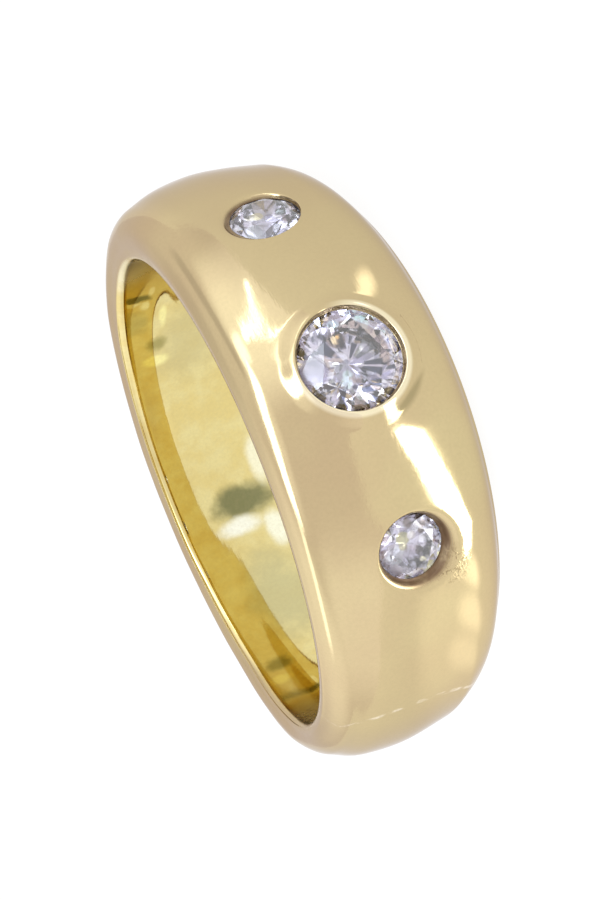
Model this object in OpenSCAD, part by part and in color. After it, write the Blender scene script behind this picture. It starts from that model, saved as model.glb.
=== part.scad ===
// A tapered, domed gold band with three round diamonds sunk flush into its front.
// The band lies on its side as it would on a table: +Z is up, and the front, with the
// centre stone, faces -Y. The origin is on the table, under the middle of the band.

/* [Finger] */
// Inside diameter of the band
finger_d = 17.2; // [15:0.1:21]

/* [Band] */
// Wall thickness behind the centre stone
front_wall = 2.1; // [2.05:0.05:2.8]
// Wall thickness at the back
back_wall = 1.6; // [1.3:0.05:2]
// Width of the band across the centre stone
front_width = 7.5; // [6.5:0.1:8.5]
// Width of the band at the back
back_width = 5.0; // [4.5:0.1:6]
// Rounding of the outer edge on the upper side
upper_shoulder_r = 1.05; // [0.6:0.05:1.3]
// Rounding of the outer edge on the lower side, which is worn rounder
lower_shoulder_r = 1.5; // [0.6:0.05:1.5]
// Size of the eased edge where the finger hole meets each side
inner_edge = 0.1; // [0.05:0.01:0.15]

/* [Stones] */
// Diameter of the centre stone
centre_d = 3.7; // [3.4:0.05:4]
// Diameter of the right stone
right_d = 2.6; // [2.2:0.05:2.8]
// Diameter of the left stone
left_d = 2.45; // [2.2:0.05:2.8]
// Angle from the centre stone to each side stone, around the middle of the dome
side_angle = 37.5; // [33:0.5:42]
// Depth of the centre stone's girdle under the top of the dome
centre_depth = 0.36; // [0.3:0.01:0.4]
// Depth of the right stone's girdle under the top of the dome
right_depth = 0.36; // [0.3:0.01:0.6]
// Depth of the left stone's girdle under the top of the dome
left_depth = 0.6; // [0.3:0.01:0.65]

/* [Cut] */
// Table width of the centre stone, as a share of its diameter
centre_table = 0.56; // [0.52:0.01:0.62]
// Table width of the side stones, as a share of their diameter
side_table = 0.6; // [0.52:0.01:0.66]
// Angle of the crown's main facets
crown_angle = 34.5; // [32:0.5:36]
// Angle of the pavilion's main facets
pavilion_angle = 40.8; // [40:0.2:42]
// Girdle thickness, as a share of the diameter
girdle_share = 0.035; // [0.025:0.005:0.05]
// How far the lower halves of the centre stone reach from the girdle to the point
centre_lower_half = 0.78; // [0.6:0.01:0.85]
// How far the lower halves of the side stones reach from the girdle to the point
side_lower_half = 0.66; // [0.55:0.01:0.8]

/* [Settings] */
// Space between a stone and the metal around it
stone_gap = 0.025; // [0.02:0.005:0.04]
// How far the metal is pushed in over the girdle
lip_reach = 0.06; // [0.04:0.01:0.08]
// How far the opening over a stone leans outwards
opening_lean = 8; // [0:1:15]
// Width of the drilled hole behind a stone, as a share of the stone's diameter
drill_share = 0.4; // [0.3:0.01:0.5]
// Thickness of the raised bead around the centre stone
bead_d = 0.34; // [0.25:0.01:0.4]
// Height of the bead above the dome
bead_rise = 0.12; // [0.05:0.01:0.15]

/* [Hidden] */
$fn = 144;

// The outside of the band is part of a ball whose middle lies a little in front of the finger hole's axis
bore_r = finger_d / 2;
dome_r = (finger_d + front_wall + back_wall) / 2;
bore_back = (front_wall - back_wall) / 2;
// Each side is one flat plane, because the width falls evenly from front to back
side_lean = atan((front_width - back_width) / 2 / finger_d);
side_height = ((front_width + back_width) / 4 + bore_back * tan(side_lean)) * cos(side_lean);
// On each side's plane the finger hole's middle is this far behind the dome's middle
mouth_back = bore_back * cos(side_lean) - side_height * tan(side_lean);
reach = 2 * dome_r;

// Depth of a ball's surface under its top, at a distance from the line through the top
function sink(distance) = dome_r - sqrt(pow(dome_r, 2) - pow(distance, 2));

// Lays the band down on its lower side
module at_rest() {
    translate([0, 0, side_height])
        rotate([-side_lean, 0, 0])
            children();
}

// Turns shapes drawn with +Z out of a side to the upper side's lean
module on_upper_side() {
    rotate([-side_lean, 0, 0])
        children();
}

// Turns a shape drawn with +Z out of the dome to a place on the front, its zero at the dome's top less a depth
module on_front(angle, depth) {
    rotate([0, 0, angle])
        translate([0, depth - dome_r, 0])
            rotate([90, 0, 0])
                children();
}

// What is taken off the ball above one side's plane, leaving its edge rolled over to a radius
module side_cut(edge_r) {
    // The rolled edge meets the ball a few degrees short of tangent, at a clean crossing
    crossing = 0.01;
    roll_z = side_height - edge_r;
    roll_x = sqrt(pow(dome_r - edge_r + crossing, 2) - pow(roll_z, 2));
    rotate_extrude()
        difference() {
            polygon([
                [0, side_height],
                [roll_x, side_height],
                [roll_x, roll_z],
                reach * [roll_x, roll_z] / dome_r,
                [reach, reach],
                [0, reach]
            ]);
            translate([roll_x, roll_z])
                circle(edge_r);
        }
}

// The cone that eases the edge of the finger hole at one side's plane
module eased_edge() {
    translate([0, mouth_back, side_height - 2 * inner_edge])
        cylinder(r1 = bore_r - inner_edge, r2 = bore_r + 2 * inner_edge, h = 3 * inner_edge);
}

// Room for a stone: a seat under the pavilion, a groove for the girdle, an opening above and a drilled hole behind
module seat(d) {
    girdle_r = d / 2 + stone_gap;
    half_girdle = d * girdle_share / 2 + stone_gap;
    drill_r = d * drill_share / 2;
    lip_r = d / 2 - lip_reach;
    lip_z = half_girdle + (girdle_r - lip_r) * tan(45);
    // The seat is cut a degree steeper than the stone, which bears on its outer edge
    cone_z = -half_girdle - (girdle_r - drill_r) * tan(pavilion_angle + 1);
    top_z = 1.5;
    rotate_extrude()
        polygon([
            [0, -front_wall - 0.5],
            [drill_r, -front_wall - 0.5],
            [drill_r, cone_z],
            [girdle_r, -half_girdle],
            [girdle_r, half_girdle],
            [lip_r, lip_z],
            [lip_r + (top_z - lip_z) * tan(opening_lean), top_z],
            [0, top_z]
        ]);
}

// The raised bead around the centre stone, one piece with the band
module bead() {
    bead_x = centre_d / 2 + bead_d / 4;
    translate([0, 0, bead_rise - bead_d / 2 - sink(bead_x)])
        rotate_extrude()
            translate([bead_x, 0])
                circle(d = bead_d);
}

module band() {
    color([0.80, 0.68, 0.42])
        at_rest()
            difference() {
                union() {
                    sphere(dome_r);
                    on_front(0, 0)
                        bead();
                }
                on_upper_side() {
                    side_cut(upper_shoulder_r);
                    eased_edge();
                }
                mirror([0, 0, 1])
                    on_upper_side() {
                        side_cut(lower_shoulder_r);
                        eased_edge();
                    }
                translate([0, bore_back, 0])
                    cylinder(r = bore_r, h = reach, center = true);
                on_front(0, centre_depth)
                    seat(centre_d);
                on_front(side_angle, right_depth)
                    seat(right_d);
                on_front(-side_angle, left_depth)
                    seat(left_d);
            }
}

// A point of the stone from its angle, its distance from the axis and its height
function at(angle, r, z) = [r * cos(angle), r * sin(angle), z];

// Height on a flat facet through three points, above any place
function on_plane(a, b, c, x, y) =
    let (n = cross(b - a, c - a))
    a[2] - (n[0] * (x - a[0]) + n[1] * (y - a[1])) / n[2];

// A round brilliant with its girdle's middle at zero and its table up.
// Its facets: table, 8 stars, 8 kites, 16 upper and 16 lower halves, 8 mains, and the point.
module brilliant(d, table_share, lower_half) {
    r = d / 2;
    half_girdle = d * girdle_share / 2;
    table_r = r * table_share;
    // Where stars, kites and upper halves meet, half way from the table's edge to the girdle
    meet_r = (r + table_r * cos(22.5)) / 2;
    // Where mains and lower halves meet
    deep_r = r * (1 - lower_half) / cos(22.5);
    // Steps of the girdle in each half facet, so that it stays round
    steps = 3;
    ring = 16 * steps;
    table_z = half_girdle + (r - table_r) * tan(crown_angle);
    meet_z = half_girdle + (r - meet_r * cos(22.5)) * tan(crown_angle);
    deep_z = -half_girdle - (r - deep_r * cos(22.5)) * tan(pavilion_angle);
    // Places of the point groups in the list below
    meet_0 = 8;
    upper_0 = 16;
    lower_0 = upper_0 + ring;
    deep_0 = lower_0 + ring;
    tip = deep_0 + 8;

    // The girdle's edge on a half facet that runs from its corner at step 0 to step `steps`,
    // or back, with its third corner at the given radius and height
    function edge(i, third_r, third_z, z) =
        let (
            half = floor(i / steps) % 2,
            start = floor(i / (2 * steps)) * 45,
            a = at(start + 22.5 * half, r, z),
            b = at(start + 22.5 * (half + 1), r, z),
            c = at(start + 22.5, third_r, third_z),
            p = at(i * 360 / ring, r, 0)
        )
        [p[0], p[1], on_plane(a, b, c, p[0], p[1])];

    function wrap(i) = i % ring;

    points = concat(
        [for (k = [0:7]) at(45 * k, table_r, table_z)],
        [for (k = [0:7]) at(45 * k + 22.5, meet_r, meet_z)],
        [for (i = [0:ring - 1]) edge(i, meet_r, meet_z, half_girdle)],
        [for (i = [0:ring - 1]) edge(i, deep_r, deep_z, -half_girdle)],
        [for (k = [0:7]) at(45 * k + 22.5, deep_r, deep_z)],
        [[0, 0, -half_girdle - r * tan(pavilion_angle)]]
    );
    table = [[7, 6, 5, 4, 3, 2, 1, 0]];
    stars = [for (k = [0:7]) [k, (k + 1) % 8, meet_0 + k]];
    kites = [for (k = [0:7])
        [k, meet_0 + k, upper_0 + 2 * steps * k, meet_0 + (k + 7) % 8]];
    upper_halves = [for (h = [0:15])
        concat([meet_0 + floor(h / 2)], [for (s = [steps:-1:0]) upper_0 + wrap(h * steps + s)])];
    girdle = [for (i = [0:ring - 1])
        [upper_0 + i, upper_0 + wrap(i + 1), lower_0 + wrap(i + 1), lower_0 + i]];
    lower_halves = [for (h = [0:15])
        concat([deep_0 + floor(h / 2)], [for (s = [0:steps]) lower_0 + wrap(h * steps + s)])];
    mains = [for (k = [0:7])
        [tip, deep_0 + (k + 7) % 8, lower_0 + 2 * steps * k, deep_0 + k]];

    polyhedron(points, concat(table, stars, kites, upper_halves, girdle, lower_halves, mains));
}

module diamond(angle, depth, d, table_share, lower_half) {
    color([0.90, 0.91, 0.95])
        at_rest()
            on_front(angle, depth)
                brilliant(d, table_share, lower_half);
}

module centre_diamond() {
    diamond(0, centre_depth, centre_d, centre_table, centre_lower_half);
}

module right_diamond() {
    diamond(side_angle, right_depth, right_d, side_table, side_lower_half);
}

module left_diamond() {
    diamond(-side_angle, left_depth, left_d, side_table, side_lower_half);
}

band();
centre_diamond();
right_diamond();
left_diamond();
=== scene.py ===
# A tapered, domed gold band with three round diamonds, lying on its side on a pale floor.
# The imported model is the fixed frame: +Z is up, and the front with the centre stone faces -Y.
import math
from collections import namedtuple

import bmesh
import bpy
from mathutils import Matrix, Vector


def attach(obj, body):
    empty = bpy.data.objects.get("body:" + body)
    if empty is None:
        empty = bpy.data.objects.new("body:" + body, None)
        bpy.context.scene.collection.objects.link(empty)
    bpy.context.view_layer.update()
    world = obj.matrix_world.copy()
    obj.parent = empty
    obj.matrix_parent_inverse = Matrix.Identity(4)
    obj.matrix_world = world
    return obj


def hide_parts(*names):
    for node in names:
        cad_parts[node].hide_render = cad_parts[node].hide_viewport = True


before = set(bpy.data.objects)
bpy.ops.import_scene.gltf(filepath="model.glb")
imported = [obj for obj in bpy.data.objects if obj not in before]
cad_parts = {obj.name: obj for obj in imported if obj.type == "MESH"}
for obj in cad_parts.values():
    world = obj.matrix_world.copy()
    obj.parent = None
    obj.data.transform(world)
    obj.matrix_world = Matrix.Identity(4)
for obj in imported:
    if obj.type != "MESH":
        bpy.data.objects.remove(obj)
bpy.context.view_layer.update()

# The camera looks down on the front and the upper side at the photograph's angle.
# It is turned on its axis, because the photograph shows the band with its finger hole to the left.
MM = 0.001
side_lean = math.radians(4.1566)
side_height = 3.1349 * MM
hole_back = 0.25 * MM
lay_down = Matrix.Translation((0, 0, side_height)) @ Matrix.Rotation(-side_lean, 4, "X")

hole_middle = lay_down @ Vector((0, hole_back, 0))
view_side, view_up, view_turn = (math.radians(a) for a in (-14.31, 16.476, 23.955))
view_distance = 170 * MM
view_right, view_rise = 0.184 * MM, 0.446 * MM
to_eye = lay_down.to_3x3() @ Vector((
    math.sin(view_side) * math.cos(view_up),
    -math.cos(view_side) * math.cos(view_up),
    math.sin(view_up)))
across = lay_down.to_3x3() @ Vector((1, 0, 0))
across = (across - across.dot(to_eye) * to_eye).normalized()
picture_up = across * math.cos(view_turn) + across.cross(to_eye) * math.sin(view_turn)
picture_right = picture_up.cross(to_eye)
eye = hole_middle + to_eye * view_distance + picture_right * view_right + picture_up * view_rise

camera_data = bpy.data.cameras.new("camera")
camera_data.lens = 193.85
camera_data.clip_start = 10 * MM
camera_data.clip_end = 5
camera = bpy.data.objects.new("camera", camera_data)
bpy.context.scene.collection.objects.link(camera)
camera_turn = Matrix((picture_right, picture_up, to_eye)).transposed().to_4x4()
camera.matrix_world = Matrix.Translation(eye) @ camera_turn
bpy.context.scene.camera = camera


# The band is one piece of yellow gold, domed outside and plain inside, and it narrows evenly to the back.
# Its section at the front is turned into a ring, tapered, and opened for the stones. Both edges are rolled
# over, the lower one rounder, and metal is turned up in a thin collar around the centre stone.
dome_r = 10.45 * MM
hole_r = 8.6 * MM
half_width = 3.1432 * MM
taper = 0.02312 / MM
upper_edge_r = 1.05 * MM
lower_edge_r = 1.8 * MM
columns = 96
dome_step = 0.6875 * MM
wall_step = 0.55 * MM
patch_step = 0.552 * MM
flat_side_r = 9.06 * MM
domed_height = 2.17 * MM


def rolled_edge(roll_r, angles):
    """Places on a rolled edge in the front section, as distance from the ring's axis and height."""
    roll_z = side_height - roll_r
    roll_x = math.sqrt((dome_r - roll_r) ** 2 - roll_z ** 2)
    for angle in angles:
        out = roll_x + roll_r * math.cos(math.radians(angle))
        up = roll_z + roll_r * math.sin(math.radians(angle))
        yield (out * math.cos(side_lean) - up * math.sin(side_lean),
               out * math.sin(side_lean) + up * math.cos(side_lean))


def before_taper(out, up):
    """Where a place of the front section lies before the band is tapered."""
    return out, up / (1 + taper * out)


dome_heights = [k * dome_step for k in range(-3, 4)]
dome_part = [before_taper(math.sqrt(dome_r ** 2 - z ** 2), z) for z in dome_heights]
upper_roll = [before_taper(*p) for p in rolled_edge(upper_edge_r, (2, 15, 34, 56, 78))]
lower_roll = [before_taper(out, -up) for out, up in rolled_edge(lower_edge_r, (68, 52, 36, 20, 6))]
# The eased edge of the finger hole: distance from the axis, and depth under the side, in millimetres
eased_edge = [(8.90, 0.004), (8.81, 0.018), (8.73, 0.05), (8.66, 0.12), (8.61, 0.24), (8.60, 0.45)]
upper_ease = [(out * MM, half_width - down * MM) for out, down in eased_edge]
lower_ease = [(out * MM, down * MM - half_width) for out, down in reversed(eased_edge)]
wall_part = [(hole_r, k * wall_step) for k in range(4, -5, -1)]
section = (dome_part + upper_roll + [(flat_side_r, half_width)] + upper_ease
           + wall_part + lower_ease + lower_roll)

bpy.ops.object.select_all(action="DESELECT")
bpy.ops.mesh.primitive_circle_add(vertices=len(section), radius=MM)
band = bpy.context.object
band.name = "gold_band"
for vertex, (out, up) in zip(band.data.vertices, section):
    vertex.co = (0, -out, up)
bpy.ops.object.mode_set(mode="EDIT")
bpy.ops.mesh.select_all(action="SELECT")
bpy.ops.mesh.spin(steps=columns, angle=2 * math.pi, center=(0, 0, 0), axis=(0, 0, 1))
bpy.ops.mesh.select_all(action="SELECT")
bpy.ops.mesh.remove_doubles(threshold=0.001 * MM)
bpy.ops.mesh.normals_make_consistent(inside=False)
bpy.ops.object.mode_set(mode="OBJECT")


def from_middle(p):
    """How far a place is from the middle of the ring, seen from above."""
    return math.hypot(p.x, p.y)


def choose_nothing():
    """Leaves edit mode with no part of the band selected."""
    bpy.ops.object.mode_set(mode="OBJECT")
    for parts in (band.data.vertices, band.data.edges, band.data.polygons):
        parts.foreach_set("select", [False] * len(parts))


def choose(test):
    """Selects the band's points that pass a test on their place, and stays in edit mode."""
    choose_nothing()
    for vertex in band.data.vertices:
        vertex.select = test(vertex.co)
    bpy.ops.object.mode_set(mode="EDIT")
    bpy.ops.mesh.select_mode(type="VERT")


# The finger hole lies a little behind the dome's middle, so the wall is thicker in front
choose(lambda p: from_middle(p) < hole_r + 0.2 * MM)
bpy.ops.transform.translate(value=(0, hole_back, 0))
bpy.ops.object.mode_set(mode="OBJECT")

narrowing = band.modifiers.new("narrowing", "SIMPLE_DEFORM")
narrowing.deform_method = "TAPER"
narrowing.deform_axis = "Y"
narrowing.lock_x = True
narrowing.factor = -taper * band.dimensions.y
bpy.ops.object.modifier_apply(modifier="narrowing")

on_dome = band.vertex_groups.new(name="dome")
on_dome.add([v.index for v in band.data.vertices
             if v.co.length > dome_r - 0.3 * MM and abs(v.co.z) < domed_height * (1 - taper * v.co.y)],
            1, "REPLACE")
doming = band.modifiers.new("doming", "CAST")
doming.cast_type = "SPHERE"
doming.factor = 1
doming.use_radius_as_size = False
doming.size = dome_r
doming.vertex_group = "dome"
bpy.ops.object.modifier_apply(modifier="doming")


def stone_axis(angle):
    """The direction out of the band through a stone."""
    turn = math.radians(angle)
    return Vector((math.sin(turn), -math.cos(turn), 0))


def open_patch(angle, patch, outside, ring_r, lift, aslant=(0, 0)):
    """Deletes a square patch of the dome or of the wall behind it, and makes its edge a circle around a
    stone's axis. The circle may lie aslant by a way around the band and a way up."""
    turn = math.radians(angle)
    axis = stone_axis(angle)
    aside = Vector((math.cos(turn), math.sin(turn), 0))
    back = 0 if outside else hole_back
    half_wide = patch * 2 * math.pi / columns
    half_high = patch * patch_step
    between_skins = 9.5 * MM
    choose_nothing()
    for face in band.data.polygons:
        p = face.center
        face_turn = math.atan2(p.x, back - p.y) - turn
        if outside:
            right_skin = p.length > dome_r - 0.1 * MM
        else:
            right_skin = abs(math.hypot(p.x, p.y - back) - hole_r) < 0.05 * MM
        face.select = (right_skin and abs(face_turn) < half_wide
                       and abs(p.z) / (1 - taper * p.y) < half_high)
    bpy.ops.object.mode_set(mode="EDIT")
    bpy.ops.mesh.select_mode(type="FACE")
    bpy.ops.mesh.delete(type="FACE")
    bpy.ops.mesh.select_mode(type="EDGE")
    shape = bmesh.from_edit_mesh(band.data)
    edge = {v for e in shape.edges if e.is_boundary for v in e.verts
            if (v.co.dot(axis) > between_skins) == outside}
    places = sorted((math.atan2(v.co.z, v.co.dot(aside)) % (2 * math.pi), v.index) for v in edge)
    rank = {index: i for i, (_, index) in enumerate(places)}
    first = places[0][0] if places[0][0] < math.pi / len(places) else 0
    for v in edge:
        around = first + rank[v.index] * 2 * math.pi / len(places)
        flat = aside * (math.cos(around) * ring_r + aslant[0])
        flat.z = math.sin(around) * ring_r + aslant[1]
        v.co = flat + axis * lift(flat)
    for e in shape.edges:
        e.select_set(e.is_boundary)
    bmesh.update_edit_mesh(band.data)


def dome_lift(flat):
    """How far out along a stone's axis the dome is, over a place beside the axis."""
    return math.sqrt(dome_r ** 2 - flat.length_squared)


def wall_lift(axis):
    """How far out along a stone's axis the finger hole's wall is, over a place beside the axis."""
    def lift(flat):
        behind = Vector((flat.x, flat.y - hole_back, 0))
        along = behind.dot(axis)
        return math.sqrt(along ** 2 - behind.length_squared + hole_r ** 2) - along
    return lift


def open_setting(angle, patch, rings, aslant):
    """Opens the dome over a stone and the wall behind it, and joins the two openings by rings.
    A ring is its radius, its height over the dome's top, and how sharp it is. The stone's own rings are
    sharp, and those over them may lie aslant, the outermost one most."""
    radius, height, _ = rings[0]
    open_patch(angle, patch, True, radius, dome_lift, aslant)
    turn, axis = math.radians(angle), stone_axis(angle)
    slip = Vector((math.cos(turn) * aslant[0], math.sin(turn) * aslant[0], aslant[1]))
    steps_back = sum(not sharp for _, _, sharp in rings)
    step_back = -slip / steps_back
    for next_radius, next_height, sharp in rings[1:]:
        middle = axis * (dome_r + height) + slip
        move = step_back if steps_back else Vector()
        bpy.ops.mesh.extrude_region_move()
        bpy.ops.transform.resize(value=(next_radius / radius,) * 3, center_override=middle)
        bpy.ops.transform.translate(value=axis * (next_height - height) + move)
        bpy.ops.transform.edge_crease(value=sharp)
        slip += move
        steps_back = max(0, steps_back - 1)
        radius, height = next_radius, next_height
    mouth_r = radius * 1.04
    open_patch(angle, patch, False, mouth_r, wall_lift(axis))
    bpy.ops.mesh.bridge_edge_loops()


def sink(radius):
    """Depth of the dome under its top, at a distance from the line through the top."""
    return dome_r - math.sqrt(dome_r ** 2 - radius ** 2)


def seat_rings(stone_d, depth, drill_d):
    """The lip, the groove for the girdle, the seat under the stone and the drilled hole behind it."""
    lip_over, lip_thick = 0.05 * MM, 0.08 * MM
    groove_r = stone_d / 2 + 0.04 * MM
    half_groove = stone_d * 0.0175 + 0.03 * MM
    seat_slope = math.radians(42.5)
    seat_deep = (groove_r - drill_d / 2) * math.tan(seat_slope)
    return [(stone_d / 2 - lip_over, half_groove + lip_thick - depth, 0.7),
            (groove_r, half_groove - depth, 0.8),
            (groove_r, -half_groove - depth, 0.8),
            (drill_d / 2, -half_groove - depth - seat_deep, 0.8)]


# Each outline is radius and height over the dome's own surface, in millimetres
collar = [(2.50, 0), (2.42, 0.02), (2.34, 0.055), (2.25, 0.10), (2.15, 0.15), (2.06, 0.195),
          (1.98, 0.225), (1.92, 0.225), (1.88, 0.19), (1.855, 0.1), (1.84, 0.0)]
right_opening = [(1.62, 0), (1.48, 0), (1.42, -0.008), (1.38, -0.035), (1.345, -0.1), (1.31, -0.18)]
left_opening = [(1.66, 0), (1.56, -0.002), (1.50, -0.02), (1.42, -0.06), (1.34, -0.12), (1.28, -0.2),
                (1.25, -0.32)]
# Angles are in degrees and lengths in millimetres. A patch is counted in faces, from its middle to its edge.
Setting = namedtuple("Setting", "stone angle patch outline aslant stone_d depth drill_d")
settings = centre, right, left = (
    Setting("centre_diamond", 0, 3, collar, (0, 0), 3.7, 0.36, 1.48),
    Setting("right_diamond", 37.5, 2, right_opening, (0.14, 0.19), 2.6, 0.36, 1.04),
    Setting("left_diamond", -37.5, 2, left_opening, (-0.20, -0.20), 2.45, 0.6, 0.98))
for setting in settings:
    over_stone = [(r * MM, h * MM - sink(r * MM), 0) for r, h in setting.outline]
    under_lip = seat_rings(setting.stone_d * MM, setting.depth * MM, setting.drill_d * MM)
    aslant = [shift * MM for shift in setting.aslant]
    open_setting(setting.angle, setting.patch, over_stone + under_lip, aslant)
bpy.ops.object.mode_set(mode="OBJECT")


def part_way(value, low, high):
    """How far a value is from one limit to the other, from 0 to 1."""
    return max(0, min(1, (value - low) / (high - low)))


def hump(value, middle, half):
    """A round bump: 1 at its middle and 0 at half its width from there."""
    return max(0, 1 - ((value - middle) / half) ** 2)


def push(name, share, distance, direction="NORMAL"):
    """Moves the band's points by a distance times a share from 0 to 1, which follows from a point's place."""
    group = band.vertex_groups.new(name=name)
    for vertex in band.data.vertices:
        group.add([vertex.index], share(vertex.co), "REPLACE")
    moved = band.modifiers.new(name, "DISPLACE")
    moved.vertex_group = group.name
    moved.direction = direction
    moved.mid_level = 0
    moved.strength = distance
    bpy.ops.object.modifier_apply(modifier=name)


def angle_round(p):
    """Degrees around the band from the middle of its front, to either side."""
    return math.degrees(math.atan2(abs(p.x), -p.y))


def behind_stones(p):
    """The dome behind the side stones, from nearer the front on the right, and not its lowest part."""
    around = part_way(angle_round(p), *((44, 76) if p.x > 0 else (88, 124)))
    return around * part_way(from_middle(p), 9.1 * MM, 9.45 * MM) * part_way(p.z, -1.7 * MM, 0.2 * MM)


def lower_left_edge(p):
    """The lower edge along the middle of the left side."""
    return hump(angle_round(p), 84, 36) * hump(p.z, -1.6 * MM, 1.3 * MM) if p.x < 0 else 0


def at_back(p, side):
    """The back of the upper side, to the right or the left."""
    upper = part_way(p.z / half_width / (1 - taper * p.y), 0.35, 0.85)
    return upper * part_way(p.y, 1.5 * MM, 4.5 * MM) * part_way(side * p.x, -0.5 * MM, 4.5 * MM)


def worn_back(p):
    """The left back of the upper side, most at the finger hole and less towards the far left."""
    inner = 0.4 + 0.6 * part_way(from_middle(p), 9.5 * MM, hole_r) ** 2
    return at_back(p, -1) * inner * (1 - 0.6 * part_way(-p.x, 4.5 * MM, 8 * MM))


# Behind the stones the dome stands a little higher than a true ball. The lower left edge is rubbed rounder.
push("thicker", behind_stones, 0.24 * MM)
push("rubbed", lower_left_edge, -0.09 * MM)

# The upper side isn't quite even: at the back it rises to the right, and falls to the left, most at the hole
push("risen", lambda p: at_back(p, 1), 0.1 * MM, "Z")
push("fallen", worn_back, -0.22 * MM, "Z")

# The upper edge of the finger hole has worn a little to the left
choose(lambda p: from_middle(p) < 9.1 * MM and p.z > 1.2 * MM)
bpy.ops.transform.translate(value=(-0.1 * MM, 0, 0))
bpy.ops.object.mode_set(mode="OBJECT")

smoothing = band.modifiers.new("smoothing", "SUBSURF")
smoothing.levels = smoothing.render_levels = 2
bpy.ops.object.modifier_apply(modifier="smoothing")

# Years of wear and hand polishing leave the surface a little wavy
outside_skin = band.vertex_groups.new(name="outside")
for vertex in band.data.vertices:
    outside_skin.add([vertex.index], part_way(from_middle(vertex.co), 8.95 * MM, 9.25 * MM), "REPLACE")
waves = bpy.data.textures.new("waves", "CLOUDS")
waves.noise_scale = 2.2 * MM
waves.noise_depth = 1
wavy = band.modifiers.new("wavy", "DISPLACE")
wavy.texture = waves
wavy.texture_coords = "LOCAL"
wavy.vertex_group = "outside"
wavy.strength = 0.022 * MM
wavy.mid_level = 0.5
bpy.ops.object.modifier_apply(modifier="wavy")
bpy.ops.object.shade_smooth()
bpy.ops.object.select_all(action="DESELECT")


def softly(value, low, high):
    """How far a value is from one limit to the other, from 0 to 1, with soft ends."""
    share = part_way(value, low, high)
    return share * share * (3 - 2 * share)


# Grime, and painted shade, lie under the lips of the settings and in the seats behind them
grime_and_shade = band.data.attributes.new("grime_and_shade", "FLOAT", "POINT")
for vertex, mark in zip(band.data.vertices, grime_and_shade.data):
    p = vertex.co
    in_wall = math.hypot(p.x, p.y - hole_back) > hole_r + 0.05 * MM
    for setting in settings:
        axis, stone_d = stone_axis(setting.angle), setting.stone_d * MM
        from_axis = (p - p.dot(axis) * axis).length
        if in_wall and p.dot(axis) > 0 and from_axis < 1.5 * stone_d:
            under = dome_lift(Vector((from_axis, 0, 0))) - p.dot(axis)
            near = softly(from_axis, 0.8 * stone_d, 0.6 * stone_d)
            mark.value = max(mark.value, softly(under, 0.05 * MM, 0.2 * MM) * near)
band.data.transform(lay_down)


# The shader maths: a socket that takes part in Python expressions
class Value:
    def __init__(self, nodes, socket):
        self.nodes, self.socket = nodes, socket

    def _maths(self, operation, *parts):
        return self.nodes.add("ShaderNodeMath", {"operation": operation}, *parts)

    def __add__(self, other):
        return self._maths("ADD", self, other)

    def __sub__(self, other):
        return self._maths("SUBTRACT", self, other)

    def __rsub__(self, other):
        return self._maths("SUBTRACT", other, self)

    def __mul__(self, other):
        return self._maths("MULTIPLY", self, other)

    __radd__ = __add__
    __rmul__ = __mul__

    def __getitem__(self, name):
        return Value(self.nodes, self.socket.node.outputs[name])


class Finish:
    """The nodes of a material or of the studio's world, written from Python expressions."""

    def __init__(self, owner, shader="Principled BSDF"):
        owner.use_nodes = True
        self.owner, self.tree = owner, owner.node_tree
        self.shader = self.tree.nodes[shader]

    def add(self, kind, settings, *parts, **named):
        """Adds a node: its settings come first, then what its sockets get, in order or by name."""
        node = self.tree.nodes.new(kind)
        for key, value in settings.items():
            setattr(node, key, value)
        for key, value in [*enumerate(parts), *named.items()]:
            if value is not None:
                self.give(node.inputs[key.replace("_", " ") if isinstance(key, str) else key], value)
        return Value(self, node.outputs[0])

    def give(self, target, value):
        """Links a socket, or sets its value. A colour is written without its alpha."""
        if isinstance(value, Value):
            self.tree.links.new(value.socket, target)
        elif isinstance(value, tuple) and len(target.default_value) == 4:
            target.default_value = (*value, 1)
        else:
            target.default_value = value

    def set(self, **sockets):
        for key, value in sockets.items():
            self.give(self.shader.inputs[key.replace("_", " ")], value)

    def between(self, value, low, high):
        """A mask that rises softly from 0 at one value to 1 at another."""
        return self.add("ShaderNodeMapRange", {"interpolation_type": "SMOOTHSTEP"}, value, low, high)

    def noise(self, place, scale, detail=2.0, **named):
        return self.add("ShaderNodeTexNoise", {}, Vector=place, Scale=scale, Detail=detail, **named)

    def blend(self, share, first, second):
        """Mixes two colours. A colour node's own two colour sockets come after those for numbers."""
        unused = [None] * 5
        return self.add("ShaderNodeMix", {"data_type": "RGBA"}, share, *unused, first, second)[2]

    def stretched(self, place, turn, along, across):
        """A place for a pattern of lines: turned, and drawn out in one direction."""
        scale = (along, across, across)
        return self.add("ShaderNodeMapping", {}, Vector=place, Rotation=turn, Scale=scale)

    def offset(self, place, middle, scale=(1, 1, 1)):
        """The way from a point to a place, with each axis stretched."""
        shift = tuple(-m * s for m, s in zip(middle, scale))
        return self.add("ShaderNodeMapping", {}, Vector=place, Location=shift, Scale=scale)

    def distance(self, place, middle, scale=(1, 1, 1)):
        offset = self.offset(place, middle, scale)
        return self.add("ShaderNodeVectorMath", {"operation": "LENGTH"}, offset)["Value"]

    def beside(self, direction, way):
        """The cosine of the angle between two directions."""
        return self.add("ShaderNodeVectorMath", {"operation": "DOT_PRODUCT"}, direction, way)["Value"]


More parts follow.
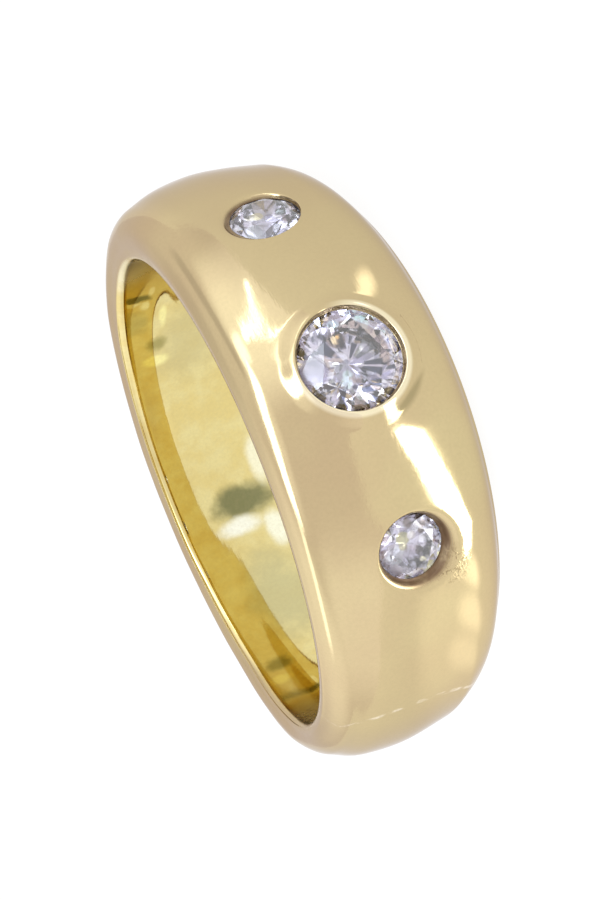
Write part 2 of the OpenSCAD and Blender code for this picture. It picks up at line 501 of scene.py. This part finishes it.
gold = Finish(bpy.data.materials.new("gold"))
place = gold.add("ShaderNodeTexCoord", {})["Object"]
own = gold.add("ShaderNodeMapping", {"vector_type": "TEXTURE"}, Vector=place,
               Location=(0, 0, side_height), Rotation=(-side_lean, 0, 0))
own_xyz = gold.add("ShaderNodeSeparateXYZ", {}, own)
own_x, own_y, own_z = own_xyz["X"], own_xyz["Y"], own_xyz["Z"]
off_axis = gold.distance(own, (0, hole_back, 0), (1, 1, 0))
inside = gold.between(off_axis, 8.75 * MM, 8.62 * MM)
in_seat = gold.add("ShaderNodeAttribute", {"attribute_name": "grime_and_shade"})["Fac"]
drift = gold.noise(own, 0.25 / MM)
patches = gold.noise(own, 0.9 / MM, 4.0, Roughness=0.6)
grain = gold.noise(own, 9 / MM, 3.0)
dents = gold.noise(own, 5 / MM, 3.0, Distortion=1.5)

# Outside, the gold is worn to a soft tan. To the right it is painted a deeper tan as painted shade,
# except on the upper side.
tan, warm_tan, shaded_tan = (0.625, 0.495, 0.275), (0.655, 0.535, 0.29), (0.53, 0.42, 0.235)
shade_to_right = 0.65 * gold.between(own_x, -3 * MM, 6 * MM) * gold.between(own_z, 2.9 * MM, 2.0 * MM)
worn_and_shaded_skin = gold.blend(gold.between(drift, 0.35, 0.65), tan, warm_tan)
worn_and_shaded_skin = gold.blend(shade_to_right, worn_and_shaded_skin, shaded_tan)

# The polished wall inside has painted reflections of the drilled holes opposite it, as dull olive smudges,
# and painted highlights beside them and at both ends of the part that the camera sees. Each mark is its
# middle, half its width and half its height in millimetres, how strong it is, and its tint.
wall_and_reflections = gold.blend(gold.between(patches, 0.35, 0.65), (0.76, 0.62, 0.25), (0.80, 0.69, 0.32))
olive, old_gold = (0.58, 0.53, 0.28), (0.60, 0.52, 0.26)
ivory, cream = (1, 1, 0.85), (1, 1, 0.8)
straw, bright = (1, 0.98, 0.74), (1, 0.92, 0.4)
right_end, left_end = (8.45, -0.2, 5.9), (-8.2, 3.2, 5.3)
wall_reflections = (
    (-2.5, 8.5, 2.4, 1.9, 1.3, 0.8, olive),
    (7.0, 5.3, 3.0, 1.5, 1.2, 0.6, old_gold),
    (1.45, 8.7, 2.3, 0.6, 1.3, 0.95, (0.20, 0.20, 0.09)),
    (7.2, 5.1, 4.35, 0.3, 0.5, 0.8, (0.34, 0.30, 0.10)),
    (-5.0, 7.3, 4.1, 0.35, 0.5, 0.85, (0.26, 0.24, 0.08)),
    (0.6, 8.82, 2.7, 0.35, 0.8, 0.95, ivory),
    (0.1, 8.74, 1.5, 0.7, 0.4, 0.9, cream),
    (2.7, 8.3, 1.3, 0.9, 0.35, 0.8, straw),
    (6.75, 5.65, 4.4, 0.22, 0.5, 0.9, bright),
    (7.8, 4.0, 4.05, 0.5, 0.16, 0.8, bright),
    (-5.7, 6.8, 4.4, 0.25, 0.45, 0.8, bright),
    (*right_end, 1.7, 0.8, 0.9, (1, 0.95, 0.62)),
    (*left_end, 1.6, 0.8, 0.9, (1, 0.93, 0.52)))
for x, y, z, half_x, half_z, share, tint in wall_reflections:
    scale = (1 / (half_x * MM), 1 / (half_x * MM), 1 / (half_z * MM))
    ragged = gold.distance(place, Vector((x, y, z)) * MM, scale) + 1.4 * patches - 0.7
    wall_and_reflections = gold.blend(share * gold.between(ragged, 1.4, 0.5), wall_and_reflections, tint)
metal = gold.blend(inside, worn_and_shaded_skin, wall_and_reflections)
metal = gold.blend(gold.between(grain, 0.3, 0.75) * 0.12, metal, (0.45, 0.36, 0.2))

# The bead round the centre stone is painted bright as a highlight, except at its upper right. Beyond its
# lower left the gold is painted darker as painted shade.
on_front = gold.between(own_y, -8.9 * MM, -9.2 * MM)
from_stone = gold.distance(own, (0, 0, 0), (1, 0, 1))
bead = gold.between(from_stone, 2.14 * MM, 2.0 * MM) * gold.between(from_stone, 1.84 * MM, 1.9 * MM)
highlight_side = gold.between(own_x * 0.755 + own_z * 0.656, 1.7 * MM, 0.6 * MM)
metal = gold.blend(0.8 * bead * on_front * highlight_side, metal, (0.95, 0.86, 0.60))
below = gold.between(from_stone, 2.12 * MM, 2.26 * MM) * gold.between(from_stone, 2.6 * MM, 2.36 * MM)
shade_side = gold.between(own_x * -0.83 + own_z * -0.56, 2.1 * MM, 2.3 * MM)
metal = gold.blend(0.7 * below * on_front * shade_side, metal, (0.34, 0.28, 0.14))

# The graver has left its marks beside the left stone
from_marks = gold.distance(own, (-7.05 * MM, -7.45 * MM, -1.27 * MM))
tool_marks = gold.between(from_marks, 0.85 * MM, 0.45 * MM)
metal = gold.blend(tool_marks * gold.between(dents, 0.52, 0.66) * 0.6, metal, (0.3, 0.22, 0.11))

# A fine bowed crease runs across the left side, where the lower edge was worked with a file. It is bumped,
# and painted bright along its line as a painted highlight.
place_xyz = gold.add("ShaderNodeSeparateXYZ", {}, place)
from_bow = place_xyz["Z"] - 3.4 * MM
off_crease = place_xyz["Y"] + 2.6 * MM - from_bow * from_bow * (0.19 / MM)
crease_and_highlight = gold.between(off_crease * off_crease, (0.13 * MM) ** 2, 0)
crease_and_highlight = crease_and_highlight * gold.between(place_xyz["X"], -8 * MM, -9 * MM) * gold.between(patches, 0.42, 0.56)
crease_and_highlight = crease_and_highlight * (1 - inside)
metal = gold.blend(0.7 * crease_and_highlight, metal, (1, 0.9, 0.7))

# The seats are painted dark brown, as grime and as painted shade, and made rougher and less metallic
grime_and_shade_share = in_seat * (0.75 + 0.25 * gold.between(patches, 0.35, 0.6))
gold.set(Base_Color=gold.blend(grime_and_shade_share, metal, (0.13, 0.075, 0.035)), Metallic=1 - 0.75 * grime_and_shade_share)
gold.set(Specular_Tint=(0.75, 0.7, 0.68))

# The polish is finest inside the finger hole, and duller on its edge and at both ends of what is seen of it
on_edge = gold.between(off_axis, 8.56 * MM, 8.68 * MM) * gold.between(off_axis, 9.1 * MM, 8.9 * MM)
dull_ends = sum(gold.between(gold.distance(place, Vector(end) * MM), 3 * MM, 1 * MM)
                for end in (right_end, left_end))
skin_rough = 0.07 + 0.07 * gold.between(patches, 0.3, 0.75) + 0.3 * in_seat + 0.12 * on_edge
gold.set(Roughness=skin_rough * (1 - 0.6 * inside) + 0.25 * dull_ends * inside)
scratch_turns = ((0.3, 0.2, 0.5), (0.3, -0.6, 1.4), (0.3, 0.9, 2.3))
fine_lines = sum(gold.noise(gold.stretched(own, turn, 0.25 / MM, 7 / MM), 1.0) for turn in scratch_turns)
relief = fine_lines * 0.6 + grain * 0.5 + tool_marks * dents * 14 + crease_and_highlight * 2
bump = gold.add("ShaderNodeBump", {}, Strength=1 - 0.75 * inside, Distance=0.0016 * MM, Height=relief)
gold.set(Normal=bump)
band.data.materials.append(gold.owner)
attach(band, "root")
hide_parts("band")


# The diamonds are round brilliants, cut and polished to flat facets, and each is held by the lip pressed
# over its girdle. Their colour is painted reflections: pale and darker facets, and on the centre one a star
# of pale and dark wedges around its point, with painted glints. The side ones are painted hazier, with more
# painted reflection of gold.
haze, mist, dusk, mauve = (0.60, 0.565, 0.69), (0.86, 0.87, 0.95), (0.25, 0.24, 0.33), (0.45, 0.38, 0.41)
slate, shadow, umber = (0.004, 0.005, 0.013), (0.2, 0.18, 0.26), (0.09, 0.055, 0.045)
white, aqua, amber = (0.97, 0.98, 1), (0.66, 0.93, 1), (1, 0.62, 0.2)


def brilliant(setting, dull, worn, marks):
    """A stone's finish in its own frame, where its radius is 1 and its table faces +Z. Worn is the middle and
    radius of a spot that has lost its polish. A mark is a painted reflection or glint, a round patch or a
    wedge:
    its middle, the radius it reaches, its colour, the radius it starts from, its direction and half its
    angle."""
    diamond = Finish(bpy.data.materials.new(setting.stone))
    stands = (lay_down @ Matrix.Rotation(math.radians(setting.angle), 4, "Z")
              @ Matrix.Translation((0, setting.depth * MM - dome_r, 0))
              @ Matrix.Rotation(math.radians(90), 4, "X"))
    in_stone = diamond.add("ShaderNodeMapping", {"vector_type": "TEXTURE"},
                           Vector=diamond.add("ShaderNodeTexCoord", {})["Object"],
                           Location=stands.to_translation(), Rotation=stands.to_euler(),
                           Scale=(setting.stone_d / 2 * MM,) * 3)
    # The facets' pale and darker shades are painted reflections
    facets = diamond.add("ShaderNodeTexVoronoi", {"feature": "F1"}, Vector=in_stone, Scale=3.2)["Color"]
    shade = diamond.add("ShaderNodeSeparateColor", {}, facets)
    colour = diamond.blend(diamond.between(shade["Red"], 0.55, 0.75), haze, mist)
    colour = diamond.blend(diamond.between(shade["Green"], 0.78, 0.84), colour, dusk)
    from_above = (1, 1, 0)
    soft = 0.03
    for x, y, reach, tint, *wedge in marks:
        distance = diamond.distance(in_stone, (x, y, 0), from_above)
        mask = diamond.between(distance, reach + soft, reach - soft)
        if wedge:
            start, turn, half = wedge[0], math.radians(wedge[1]), math.radians(wedge[2])
            offset = diamond.offset(in_stone, (x, y, 0), from_above)
            ray = diamond.add("ShaderNodeVectorMath", {"operation": "NORMALIZE"}, offset)
            ahead = diamond.beside(ray, Vector((math.cos(turn), math.sin(turn), 0)))
            mask = (mask * diamond.between(distance, start - soft, start + soft)
                    * diamond.between(ahead, math.cos(half + soft), math.cos(half - soft)))
        colour = diamond.blend(mask, colour, tint)
    worn_x, worn_y, worn_r = worn
    from_worn = diamond.distance(in_stone, (worn_x, worn_y, 0), from_above)
    rough = dull + 0.3 * diamond.between(from_worn, worn_r + 0.05, worn_r - 0.05)
    diamond.set(Base_Color=colour, Roughness=rough, IOR=2.42, Transmission_Weight=1.0)
    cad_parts[setting.stone].material_slots[0].material = diamond.owner


# The marks are painted reflections and painted glints: dark wedges, brown and yellow patches of mirrored
# gold, and white, aqua and amber sparkles
point = (-0.14, 0.15)
brilliant(centre, 0.03, (0, 0.76, 0.25), (
    (0, 0, 0.70, (0.38, 0.25, 0.2), 0.5, -60, 65),
    (*point, 0.62, slate, 0.30, 35, 13),
    (*point, 0.45, slate, 0.12, -39, 8),
    (*point, 0.60, (0.14, 0.16, 0.14), 0.2, -64, 14),
    (*point, 0.66, slate, 0.28, -103, 6),
    (*point, 0.64, slate, 0.25, -120, 7),
    (*point, 0.75, (0.12, 0.11, 0.18), 0.4, -137, 5),
    (*point, 1.0, slate, 0.65, -155, 6),
    (*point, 0.85, umber, 0.5, 178, 10),
    (*point, 0.78, slate, 0.45, 149, 5),
    (*point, 0.82, shadow, 0.6, 121, 7),
    (*point, 0.62, (0.15, 0.14, 0.24), 0.25, 82, 4),
    (*point, 0.78, slate, 0.55, 19, 4),
    (*point, 0.45, (0.2, 0.16, 0.25), 0.3, -9, 6),
    (-0.06, 0.78, 0.26, (0.22, 0.2, 0.34)),
    (0.37, 0.17, 0.17, umber), (0.37, 0.17, 0.08, amber),
    (0.06, -0.26, 0.08, white), (0.68, 0.07, 0.10, aqua),
    (0.64, -0.47, 0.11, aqua), (-0.31, 0.24, 0.08, aqua),
    (-0.45, 0.31, 0.10, aqua), (0.21, -0.84, 0.12, white),
    (0.07, -0.82, 0.08, (0.3, 0.42, 0.85)), (-0.42, 0.61, 0.13, white),
    (-0.72, -0.34, 0.13, white), (-0.68, 0.11, 0.10, white),
    (-0.69, -0.64, 0.04, amber), (-0.98, -0.16, 0.05, amber)))
brilliant(right, 0.08, (-0.6, 0.3, 0.25), (
    (0, 0, 1.2, mauve, 0.75, 0, 180),
    (0.47, -0.1, 0.35, (0.36, 0.31, 0.33)), (-0.63, 0.28, 0.25, (0.55, 0.52, 0.66)),
    (-0.59, 0.61, 0.25, (0.78, 0.85, 1)), (-0.07, 0.25, 0.17, (0.85, 0.75, 0.32)),
    (-0.04, 0.44, 0.12, (0.8, 0.75, 0.5)), (-0.23, -0.03, 0.1, (0.15, 0.14, 0.22)),
    (0.06, -0.07, 0.07, umber), (-0.21, -0.38, 0.14, aqua),
    (-0.53, -0.4, 0.12, (0.4, 0.28, 0.3)), (0.25, 0.82, 0.06, white),
    (-0.4, 0.95, 0.08, white), (-0.32, -0.18, 0.05, white),
    (-0.82, -0.46, 0.05, white)))
brilliant(left, 0.08, (-0.45, 0.5, 0.25), (
    (0, 0, 1.2, mauve, 0.78, 0, 180),
    (0, 0, 1.0, (0.28, 0.25, 0.28), 0.55, -31, 40),
    (-0.05, 0.5, 0.25, (0.7, 0.76, 0.85)), (-0.25, 0.1, 0.25, (0.62, 0.62, 0.85)),
    (0.36, 0.22, 0.2, (0.45, 0.42, 0.13)), (0.14, 0.26, 0.12, (0.5, 0.46, 0.2)),
    (0.38, -0.04, 0.12, (0.9, 0.85, 0.75)), (0.72, -0.04, 0.12, umber),
    (0.56, -0.46, 0.1, umber), (0.42, -0.34, 0.1, umber),
    (0.49, 0.68, 0.1, (0.4, 0.3, 0.36)), (0.18, -0.32, 0.09, white),
    (-0.21, -0.52, 0.06, white), (-0.7, 0.02, 0.08, white)))


# The floor is plain white paper. It glows evenly, as if lit from all around, and a few places are brighter.
bpy.ops.mesh.primitive_plane_add(size=1.2)
floor = bpy.context.object
floor.name = "floor"
paper = Finish(bpy.data.materials.new("paper"))
on_paper = paper.add("ShaderNodeTexCoord", {})["Object"]
glow = (0.93, 0.93, 0.93)
# Each place is its middle, where it starts to fade, where it ends, and its brightness
lit_places = ((-15, -4, 3, 12, 1.12), (5.0, -12.7, 0.3, 1.4, 2.1), (-9.9, -7.4, 0.4, 1.6, 1.9),
              (-11.3, -5.0, 0.4, 2.0, 1.6), (-12.4, -2.2, 0.4, 2.2, 1.4))
for x, y, inner, outer, brightness in lit_places:
    from_place = paper.distance(on_paper, (x * MM, y * MM, 0))
    glow = paper.blend(paper.between(from_place, outer * MM, inner * MM), glow, (brightness,) * 3)
paper.set(Base_Color=(0.06, 0.06, 0.06), Roughness=0.9, Emission_Color=glow, Emission_Strength=1.0)
floor.data.materials.append(paper.owner)

# A small light panel of an odd shape lies on the paper in front, and shows in the dome as one bright streak
panel_outline = [(-9.6, -8.0), (-9.0, -10.0), (-8.1, -14.0), (-5.7, -19.4), (-4.6, -16.5), (-4.2, -13.6),
                 (-6.7, -11.0), (-7.1, -8.7)]
bpy.ops.mesh.primitive_circle_add(vertices=len(panel_outline), radius=MM, fill_type="NGON")
panel = bpy.context.object
panel.name = "light_panel"
for vertex, (x, y) in zip(panel.data.vertices, panel_outline):
    vertex.co = (x * MM, y * MM, 0.2 * MM)
lit = Finish(bpy.data.materials.new("light_panel"))
lit.set(Base_Color=(0.8, 0.8, 0.8), Emission_Color=(1, 1, 1), Emission_Strength=4.5)
panel.data.materials.append(lit.owner)


# The studio is an even light tent. A long bright window bends over its front, with a thin slit beside it,
# softer glows at the sides and the back, and two places that are a little darker.
studio = Finish(bpy.data.worlds.new("studio"), "Background")
bpy.context.scene.world = studio.owner
direction = studio.add("ShaderNodeTexCoord", {})["Generated"]


def facing(side, up):
    """The direction at a side and height in degrees: side 0 is in front of the ring, 90 on its right."""
    side, up = math.radians(side), math.radians(up)
    return Vector((math.sin(side) * math.cos(up), -math.cos(side) * math.cos(up), math.sin(up)))


def toward(way, inner, outer):
    """A mask around a direction: 1 within the inner angle and 0 beyond the outer one."""
    near = studio.beside(direction, way.normalized())
    return studio.between(near, math.cos(math.radians(outer)), math.cos(math.radians(inner)))


def strip(first, last, below, above, edge, ends):
    """A mask along the arc between two directions: how far it reaches below and above, its soft edge and its
    soft ends, in degrees."""
    pole = first.cross(last).normalized()
    if pole.z < 0:
        pole = -pole
    off = studio.beside(direction, pole)
    low, high, soft = (math.sin(math.radians(a)) for a in (below, above, edge))
    half = math.degrees(first.angle(last)) / 2
    return (studio.between(off, -low - soft, -low) * studio.between(off, high + soft, high)
            * toward(first + last, half - ends, half + ends))


window_start, window_end = facing(-72, 72.5), facing(27, 34)
window = strip(window_start, window_end, 6, 6, 4, 6)
window_glow = strip(facing(-60, 72), window_end, 17, 6, 14, 10)
window_tail = strip(facing(-80, 72), facing(-137, 43), 2.5, 2.5, 4, 6)
slit = strip(facing(38, 12.5), facing(61, 3), 0.6, 0.6, 0.7, 2)
flank = strip(facing(37, 18), facing(46, 45), 4, 4, 4, 5)
front_glow = toward(facing(46, 14), 8, 44)
side_glow = toward(facing(-88, 2), 8, 50)
back_glow = toward(facing(-150, 42), 10, 46)
dark_strip = strip(facing(112, 26), facing(50, 56), 4, 4, 7, 5)
dark_back = toward(facing(160, 42), 8, 26)
white_light = (4.2 * window + 0.3 * window_glow + 1.1 * window_tail + 4.6 * slit + 1.3 * flank
               + 0.62 * front_glow + 0.3 * side_glow + 0.4 * back_glow)
tent_light = (1 - 0.15 * dark_back) * (1 - 0.22 * dark_strip)
scale_by = {"operation": "SCALE"}
tent = studio.add("ShaderNodeVectorMath", scale_by, (0.96, 0.925, 0.965), Scale=tent_light)
glare = studio.add("ShaderNodeVectorMath", scale_by, (0.82, 0.9, 1.0), Scale=white_light)
studio.set(Color=studio.add("ShaderNodeVectorMath", {"operation": "ADD"}, tent, glare), Strength=1.0)

scene = bpy.context.scene
scene.view_settings.view_transform = "Standard"
scene.cycles.use_denoising = True
scene.cycles.max_bounces = 24
scene.cycles.transmission_bounces = 16
scene.cycles.glossy_bounces = 8
